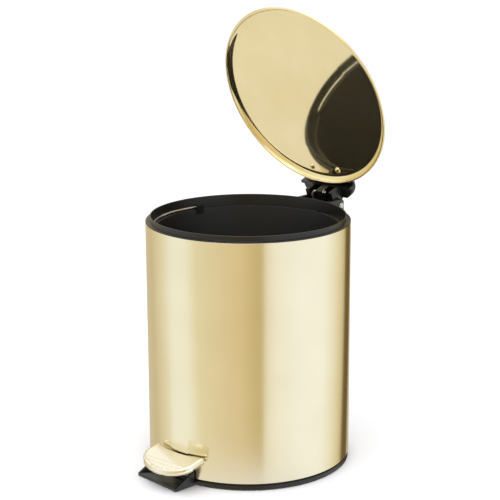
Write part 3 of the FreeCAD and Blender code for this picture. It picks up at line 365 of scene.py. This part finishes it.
# ---------------------------------------------------------------- bucket
# The lift-out bucket is moulded in black polypropylene, with a flange that hangs on the
# collar's ledge, a thumb notch and two bosses for its handle.
polypropylene, tree, shader = new_material("moulded_black_polypropylene")
place = add_node(tree, "ShaderNodeTexCoord").outputs["Object"]
mould = add_node(tree, "ShaderNodeTexNoise", inputs={"Scale": 1 / (0.7 * MM), "Detail": 2},
                 links={"Vector": place})
tone = add_node(tree, "ShaderNodeValToRGB", links={0: mould.outputs["Fac"]})
set_ramp(tone, [(0.35, linear("0D0D0D")), (0.65, linear("121212"))])
tree.links.new(tone.outputs["Color"], shader.inputs["Base Color"])
gloss = add_node(tree, "ShaderNodeMapRange", inputs={"To Min": 0.38, "To Max": 0.50},
                 links={"Value": mould.outputs["Fac"]})
tree.links.new(gloss.outputs[0], shader.inputs["Roughness"])
dimple = add_node(tree, "ShaderNodeBump", inputs={"Strength": 0.1, "Distance": 0.05 * MM},
                  links={"Height": mould.outputs["Fac"]})
tree.links.new(dimple.outputs[0], shader.inputs["Normal"])

BUCKET_TURN = math.radians(-14)
BUCKET_FLOOR = 33 * MM
BUCKET_WALL = 1.4 * MM
BUCKET_TOP = 92.5 * MM
BUCKET_FOOT = 84.5 * MM
BUCKET_EDGE = 0.3 * MM
BUCKET_PLAY = 0.4 * MM
FLANGE_RADIUS = rim_inside - BUCKET_PLAY
# A boss's size across, along and up, and how far out and how high its middle is.
BOSS = (2.1 * MM, 8 * MM, 8.8 * MM)
BOSS_PLACE = (90.9 * MM, 241.2 * MM)
# The cut for the thumb notch: its size across, outwards and up, and how far out its middle is.
NOTCH = (20.4 * MM, 8 * MM, 10 * MM)
NOTCH_PLACE = BUCKET_TOP + 3.3 * MM
flange = ledge_top + FIT_GAP
bucket_mesh = turned([
    (0, BUCKET_FLOOR), (BUCKET_FOOT, BUCKET_FLOOR), (BUCKET_TOP, flange), (FLANGE_RADIUS, flange),
    (FLANGE_RADIUS, flange + BUCKET_WALL), (BUCKET_TOP - BUCKET_WALL, flange + BUCKET_WALL),
    (BUCKET_FOOT - BUCKET_WALL, BUCKET_FLOOR + BUCKET_WALL), (0, BUCKET_FLOOR + BUCKET_WALL)])
round_edges(bucket_mesh, BUCKET_EDGE)
bucket = make_piece(bucket_mesh, "bucket_liner", polypropylene, "bucket", "bucket")
cut_box(bucket, (0, NOTCH_PLACE, flange), NOTCH)
moulding = bmesh.new()
moulding.from_mesh(bucket.data)
for side in (-1, 1):
    boss = bmesh.ops.create_cube(moulding, size=1)["verts"]
    bmesh.ops.scale(moulding, vec=BOSS, verts=boss)
    bmesh.ops.translate(moulding, vec=(side * BOSS_PLACE[0], 0, BOSS_PLACE[1]), verts=boss)
bmesh.ops.rotate(moulding, cent=(0, 0, 0), matrix=Matrix.Rotation(BUCKET_TURN, 3, "Z"),
                 verts=moulding.verts)
moulding.to_mesh(bucket.data)
moulding.free()


# ---------------------------------------------------------------- wire, pins, clips and screws
# The small metal parts are mild steel with a bright zinc plate: drawn wire for the handle and
# the rod, cut bar for the pins, pressed clips and headed screws.
bright_zinc, tree, shader = new_material("bright_zinc_plated_steel")
shader.inputs["Metallic"].default_value = 1
place = add_node(tree, "ShaderNodeTexCoord").outputs["Object"]
crystal = add_node(tree, "ShaderNodeTexNoise", inputs={"Scale": 1 / (1.2 * MM), "Detail": 4},
                   links={"Vector": place})
tone = add_node(tree, "ShaderNodeValToRGB", links={0: crystal.outputs["Fac"]})
set_ramp(tone, [(0.3, linear("BFC1C4")), (0.7, linear("D6D7D8"))])
tree.links.new(tone.outputs["Color"], shader.inputs["Base Color"])
gloss = add_node(tree, "ShaderNodeMapRange", inputs={"To Min": 0.16, "To Max": 0.32},
                 links={"Value": crystal.outputs["Fac"]})
tree.links.new(gloss.outputs[0], shader.inputs["Roughness"])

# Each CAD node: its finished piece, the body it rides on and the rounding of its edges in mm.
STEEL_PIECES = {
    "bucket_handle": ("bail_wire", "bail", 0.05),
    "lift_rod": ("rod_wire", "rod", 0.15),
    "pedal_lever": ("lever_strip", "pedal", 0.3),
    "pedal_screws": ("pan_screws", "pedal", 0.15),
    "pedal_pivot_pin": ("pivot_bar", "body", 0.3),
    "pivot_clips": ("pivot_push_clips", "body", 0.15),
    "rod_clips": ("rod_push_clips", "rod", 0.15),
    "housing_screws": ("housing_pan_screws", "body", 0.2),
    "hinge_pin": ("hinge_bar", "body", 0.3),
    "hinge_clips": ("hinge_push_clips", "body", 0.15),
}
for node, (name, body, width) in STEEL_PIECES.items():
    piece = make_piece(softened(node, width * MM), name, bright_zinc, body, node)


# ---------------------------------------------------------------- base and grip ring
# The base is moulded in the same black ABS as the collar, with a turned-out foot tongue that
# stops the bin tipping when the pedal is pressed. A rubber ring is pressed in underneath.
BASE_EDGE = 0.4 * MM
GRIP_EDGE = 0.3 * MM
base = make_piece(softened("base", BASE_EDGE), "base_plate", black_abs, "body", "base")

# Black nitrile rubber, moulded: matt, with a dusty fine grain.
rubber, tree, shader = new_material("moulded_black_rubber")
place = add_node(tree, "ShaderNodeTexCoord").outputs["Object"]
dust = add_node(tree, "ShaderNodeTexNoise", inputs={"Scale": 1 / (0.8 * MM), "Detail": 3},
                links={"Vector": place})
tone = add_node(tree, "ShaderNodeValToRGB", links={0: dust.outputs["Fac"]})
set_ramp(tone, [(0.3, linear("232322")), (0.7, linear("30302F"))])
tree.links.new(tone.outputs["Color"], shader.inputs["Base Color"])
shader.inputs["Roughness"].default_value = 0.75
grip = make_piece(softened("grip_ring", GRIP_EDGE), "grip_rubber", rubber, "body", "grip_ring")


# ---------------------------------------------------------------- pedal
# The pedal's cover is pressed from the can's satin brass-plated steel sheet, with a raised rim
# and grip ribs, and is crimped over a black moulded core.
HALF_WIDTH = 32 * MM
PEDAL_REAR = 104 * MM
PEDAL_TIP = 134 * MM
PEDAL_ROUND = 19.7 * MM
PEDAL_TOP = 36.7 * MM
PEDAL_FALL = 6.7 * MM
PEDAL_SKIRT = 5.6 * MM
SHEET = 0.8 * MM
SHOULDER = 1.3 * MM
SHOULDER_STEPS = 5
RIB_HEIGHT = 0.95 * MM
RIB_WIDTH = 2.1 * MM
RIB_STEP = 4.6 * MM
FIRST_RIB = 122.3 * MM
RIBS = 3
RIB_END = 7.5 * MM
EVEN_FALL = 0.2
# The raised rim inside the shoulder, and the groove round the turned-down edge.
RIM_HEIGHT = 0.5 * MM
RIM_INSET = 0.9 * MM
RIM_WIDTH = 2.4 * MM
GROOVE_DEPTH = 0.35 * MM
GROOVE_SLOPE = 0.3 * MM
GROOVE_FLOOR = 0.4 * MM
GROOVE_START = 0.25
CORE_EDGE = 0.3 * MM
ACROSS = 96
ALONG = 72


def bump(distance, width):
    """A smooth hill from 1 at no distance to 0 at half its width."""
    share = min(1, abs(distance) / (width / 2))
    return (1 - share * share) ** 2


def pedal_crest(forward):
    """Height of the pedal's crown at a distance in front of the can's axis."""
    start = math.sqrt(PEDAL_REAR ** 2 - HALF_WIDTH ** 2)
    along = max(0, forward - start) / (PEDAL_TIP - start)
    return PEDAL_TOP - PEDAL_FALL * (EVEN_FALL * along + (1 - EVEN_FALL) * along ** 2)


def pedal_front(x, inset):
    """How far forward the rounded front reaches at x, drawn in by inset."""
    side = min(1, abs(x) / (HALF_WIDTH - inset))
    return PEDAL_TIP - PEDAL_ROUND + (PEDAL_ROUND - inset) * math.sqrt(1 - side * side)


pedal_mesh = bmesh.new()
bmesh.ops.create_grid(pedal_mesh, x_segments=ACROSS, y_segments=ALONG, size=1)
for vert in pedal_mesh.verts:
    x = math.sin(vert.co.x * math.pi / 2) * (HALF_WIDTH - SHOULDER)
    share = (1 - vert.co.y) / 2
    rear = math.sqrt((PEDAL_REAR + SHOULDER) ** 2 - x * x)
    front = pedal_front(x, SHOULDER)
    forward = rear + (front - rear) * share
    height = pedal_crest(forward)
    to_side = HALF_WIDTH - SHOULDER - abs(x)
    into_round = forward - (PEDAL_TIP - PEDAL_ROUND)
    reach_x = HALF_WIDTH * math.sqrt(max(0, 1 - (max(0, into_round) / PEDAL_ROUND) ** 2))
    for number in range(RIBS):
        rib_y = FIRST_RIB + RIB_STEP * number
        rib_round = (rib_y - PEDAL_TIP + PEDAL_ROUND) / PEDAL_ROUND
        end = max(0, abs(x) - HALF_WIDTH * math.sqrt(1 - rib_round ** 2) + RIB_END)
        height += RIB_HEIGHT * bump(math.hypot(forward - rib_y, end), RIB_WIDTH)
    beside = reach_x - SHOULDER - abs(x) if into_round > 0 else to_side
    edge = min(front - forward, beside)
    height += RIM_HEIGHT * bump(max(0, edge) - RIM_INSET, RIM_WIDTH)
    vert.co = (x, -forward, height)


def step_out(mesh, edges, out, down):
    """Extrudes a boundary outwards and downwards, square to its own run, and gives the new edges."""
    made = bmesh.ops.extrude_edge_only(mesh, edges=edges)["geom"]
    rim_edges = [e for e in made if isinstance(e, bmesh.types.BMEdge)]
    rim = [v for v in made if isinstance(v, bmesh.types.BMVert)]
    rim_edges = [e for e in rim_edges if e.verts[0] in rim and e.verts[1] in rim]
    moves = {}
    for vert in rim:
        near = [e for e in vert.link_edges if e in rim_edges]
        run = sum(((e.other_vert(vert).co - vert.co).normalized() * sign
                   for e, sign in zip(near, (1, -1))), Vector())
        outward = Vector((run.y, -run.x, 0)).normalized()
        middle = Vector((0, -(PEDAL_REAR + PEDAL_TIP) / 2, 0))
        if outward.dot(vert.co - middle) < 0:
            outward.negate()
        moves[vert] = outward * out - Vector((0, 0, down))
    for vert, move in moves.items():
        vert.co += move
    return rim_edges


rim = [e for e in pedal_mesh.edges if e.is_boundary]
for number in range(SHOULDER_STEPS):
    a, b = (math.pi / 2 * n / SHOULDER_STEPS for n in (number, number + 1))
    rim = step_out(pedal_mesh, rim, SHOULDER * (math.sin(b) - math.sin(a)),
                   SHOULDER * (math.cos(a) - math.cos(b)))
skirt_rest = PEDAL_SKIRT - SHOULDER
groove = 2 * GROOVE_SLOPE + GROOVE_FLOOR
rim = step_out(pedal_mesh, rim, 0, skirt_rest * GROOVE_START)
rim = step_out(pedal_mesh, rim, -GROOVE_DEPTH, GROOVE_SLOPE)
rim = step_out(pedal_mesh, rim, 0, GROOVE_FLOOR)
rim = step_out(pedal_mesh, rim, GROOVE_DEPTH, GROOVE_SLOPE)
rim = step_out(pedal_mesh, rim, 0, skirt_rest * (1 - GROOVE_START) - groove)
bmesh.ops.recalc_face_normals(pedal_mesh, faces=pedal_mesh.faces)
pivot = Vector(joints["pedal_hinge"]["pos_m"])
pressed = math.radians(joints["pedal_hinge"]["range_deg"][1] / 2)
bmesh.ops.rotate(pedal_mesh, cent=pivot, matrix=Matrix.Rotation(pressed, 3, "X"), verts=pedal_mesh.verts)
cover = make_piece(pedal_mesh, "pedal_pressing", satin_brass, "pedal", "pedal_cover")
wall = cover.modifiers.new("sheet", "SOLIDIFY")
wall.thickness = SHEET
wall.offset = -1
core = make_piece(softened("pedal_core", CORE_EDGE), "pedal_insert", black_abs, "pedal", "pedal_core")


# ---------------------------------------------------------------- hinge housing and lid bracket
# The housing behind the can and the bracket on the lid are moulded in the same black ABS, with
# walls about 3 mm thick and small rounded edges.
HOUSING_EDGE = 0.45 * MM
BRACKET_EDGE = 0.4 * MM
housing = make_piece(softened("hinge_housing", HOUSING_EDGE), "housing_shell", black_abs, "body",
                     "hinge_housing")
bracket = make_piece(softened("lid_bracket", BRACKET_EDGE), "bracket_plate", black_abs, "lid",
                     "lid_bracket")


# ---------------------------------------------------------------- lid and rivets
# The lid is a pan pressed from brass-plated steel, with a shallow dome and a rolled edge, polished
# like a mirror. It is drawn shut over the can and then turned open about the hinge pin.
LID_RADIUS = 100.4 * MM
LID_WALL = 0.8 * MM
LID_DEPTH = 5.2 * MM
LID_DOME = 0.6 * MM
DOME_RADIUS = 66 * MM
LID_BEAD = 1.2 * MM
LID_COVE = 8 * MM
# The rolled edge runs round from its first angle to its last, in degrees from outwards.
BEAD_TURN = (160, 380)
BEAD_STEPS = 14
RIVET_EDGE = 0.15 * MM
RIVET_CORNER = math.radians(50)
lid_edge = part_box("top_collar")[1].z
hinge = Vector(joints["lid_hinge"]["pos_m"])
opened = math.radians(-joints["lid_hinge"]["range_deg"][0])


def arc(centre, radius, start, end, steps):
    """Points of an arc, from a start angle to an end angle in degrees."""
    angles = [math.radians(start + (end - start) * n / steps) for n in range(steps + 1)]
    return [(centre[0] + radius * math.cos(a), centre[1] + radius * math.sin(a)) for a in angles]


def dome(foot_height, steps=16):
    """Points of the shallow dome, from its foot to the axis."""
    ball = (DOME_RADIUS ** 2 + LID_DOME ** 2) / (2 * LID_DOME)
    centre = foot_height + LID_DOME - ball
    radii = [DOME_RADIUS * (steps - n) / steps for n in range(steps + 1)]
    return [(r, centre + math.sqrt(ball ** 2 - r ** 2)) for r in radii]


def cove(outer, depth, steps=12):
    """Points of the curved edge, from the flat of the lid out and down to its rolled rim."""
    ball = (LID_COVE ** 2 + depth ** 2) / (2 * depth)
    sweep = 2 * math.atan(depth / LID_COVE)
    turns = [sweep * n / steps for n in range(steps)]
    low_centre = lid_edge + depth - ball
    return [(outer - LID_COVE + ball * math.sin(a), low_centre + ball * math.cos(a)) for a in turns]


# Brass plate, buffed to a mirror and lacquered: the lacquer's warm haze, in patches some
# 60 mm across, keeps dark reflections brown.
polished_brass, tree, shader = new_material("polished_brass_plate")
shader.inputs["Metallic"].default_value = 0.96
place = add_node(tree, "ShaderNodeTexCoord").outputs["Object"]
cloud = add_node(tree, "ShaderNodeTexNoise", inputs={"Scale": 1 / (60 * MM), "Detail": 2},
                 links={"Vector": place})
tone = add_node(tree, "ShaderNodeValToRGB", links={0: cloud.outputs["Fac"]})
set_ramp(tone, [(0.3, linear("EDDBA6")), (0.7, linear("F2E2B2"))])
tree.links.new(tone.outputs["Color"], shader.inputs["Base Color"])
haze = add_node(tree, "ShaderNodeMapRange", inputs={"To Min": 0.03, "To Max": 0.08},
                links={"Value": cloud.outputs["Fac"]})
tree.links.new(haze.outputs[0], shader.inputs["Roughness"])

lid_under = lid_edge + LID_DEPTH
lid_top = lid_under + LID_WALL
inside = LID_RADIUS - LID_WALL
bead = arc((LID_RADIUS - LID_WALL / 2, lid_edge), LID_BEAD, *BEAD_TURN, BEAD_STEPS)
inner_skin = dome(lid_under)[::-1] + cove(inside, LID_DEPTH)
outer_skin = cove(LID_RADIUS, LID_DEPTH + LID_WALL)[::-1] + dome(lid_top)
lid_mesh = turned(inner_skin + bead + outer_skin)
bmesh.ops.rotate(lid_mesh, cent=hinge, matrix=Matrix.Rotation(-opened, 3, "X"), verts=lid_mesh.verts)
lid = make_piece(lid_mesh, "lid_pan", polished_brass, "lid", "lid")

rivets = make_piece(softened("lid_rivets", RIVET_EDGE, RIVET_CORNER), "lid_rivet_heads",
                    polished_brass, "lid", "lid_rivets")
